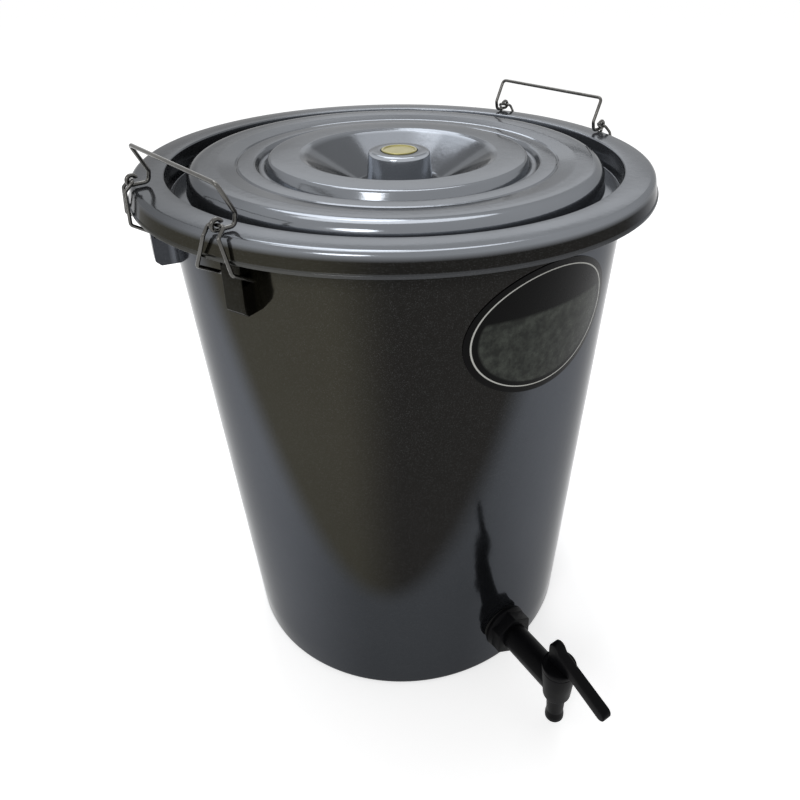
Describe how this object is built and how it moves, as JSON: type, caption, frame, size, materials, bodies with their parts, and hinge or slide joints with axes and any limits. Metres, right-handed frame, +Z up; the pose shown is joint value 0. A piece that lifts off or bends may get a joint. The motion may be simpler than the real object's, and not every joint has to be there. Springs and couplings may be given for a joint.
{
  "type": "worm composter",
  "caption": "Tapered round composting bin with a domed ring-pattern lid, wire carrying handles on wire links, a low drain tap, and a perforated platform on legs inside.",
  "frame": {"origin": "centre of the bin's flat base, on the floor", "axes": "+Z up along the bin's axis, -Y out along the tap, +X to the right seen from the tap's side"},
  "size_m": [0.4542, 0.5319, 0.5151],
  "materials": {
    "silver_plastic": "glossy silver-grey moulded plastic with a fine metallic pigment",
    "black_plastic": "semi-gloss moulded black plastic",
    "grey_plastic": "matt dark grey moulded plastic",
    "black_rubber": "matt black rubber",
    "steel_wire": "bright drawn steel wire",
    "gold_metal": "satin gold-coloured disc",
    "label_film": "glossy black film"
  },
  "bodies": {
    "bin": {"bin_body": "silver_plastic", "tap_body": "black_plastic", "tap_outer_washer": "black_rubber", "tap_inner_washer": "black_rubber", "tap_back_nut": "black_plastic", "label_skin": "label_film"},
    "lid": {"lid": "silver_plastic", "lid_badge": "gold_metal"},
    "platform": {"drainage_platform": "grey_plastic", "platform_leg_1": "grey_plastic", "platform_leg_2": "grey_plastic", "platform_leg_3": "grey_plastic", "platform_leg_4": "grey_plastic"},
    "tap_plug": {"tap_plug": "black_plastic"},
    "left_front_link": {"left_front_link": "steel_wire"},
    "left_rear_link": {"left_rear_link": "steel_wire"},
    "left_handle": {"left_handle": "steel_wire"},
    "right_front_link": {"right_front_link": "steel_wire"},
    "right_rear_link": {"right_rear_link": "steel_wire"},
    "right_handle": {"right_handle": "steel_wire"}
  },
  "joints": [
    {"name": "lid_lift", "type": "slide", "parent": "bin", "child": "lid", "axis": [0, 0, 1], "range_m": [0, 0.3]},
    {"name": "platform_lift", "type": "slide", "parent": "bin", "child": "platform", "axis": [0, 0, 1], "range_m": [0, 0.3]},
    {"name": "tap_turn", "type": "hinge", "parent": "bin", "child": "tap_plug", "pos_m": [0, -0.24922, 0.056], "axis": [0, 0, 1], "range_deg": [0, 90]},
    {"name": "left_front_link_swing", "type": "hinge", "parent": "bin", "child": "left_front_link", "pos_m": [-0.1864, -0.09001, 0.446], "axis": [0.1478, -0.989, 0], "range_deg": [0, 90]},
    {"name": "left_rear_link_swing", "type": "hinge", "parent": "bin", "child": "left_rear_link", "pos_m": [-0.20458, 0.03158, 0.446], "axis": [0.1478, -0.989, 0], "range_deg": [0, 90]},
    {"name": "left_handle_swing", "type": "hinge", "parent": "left_front_link", "child": "left_handle", "pos_m": [-0.1971, -0.09518, 0.4871], "axis": [0.1478, -0.989, 0], "range_deg": [0, 130]},
    {"name": "right_front_link_swing", "type": "hinge", "parent": "bin", "child": "right_front_link", "pos_m": [0.20458, -0.03158, 0.446], "axis": [-0.1478, 0.989, 0], "range_deg": [0, 90]},
    {"name": "right_rear_link_swing", "type": "hinge", "parent": "bin", "child": "right_rear_link", "pos_m": [0.1864, 0.09001, 0.446], "axis": [-0.1478, 0.989, 0], "range_deg": [0, 90]},
    {"name": "right_handle_swing", "type": "hinge", "parent": "right_front_link", "child": "right_handle", "pos_m": [0.21631, -0.03339, 0.4871], "axis": [-0.1478, 0.989, 0], "range_deg": [0, 130]}
  ],
  "couplings": [
    {"joint": "left_rear_link_swing", "follows": "left_front_link_swing", "ratio": 1},
    {"joint": "right_rear_link_swing", "follows": "right_front_link_swing", "ratio": 1}
  ]
}
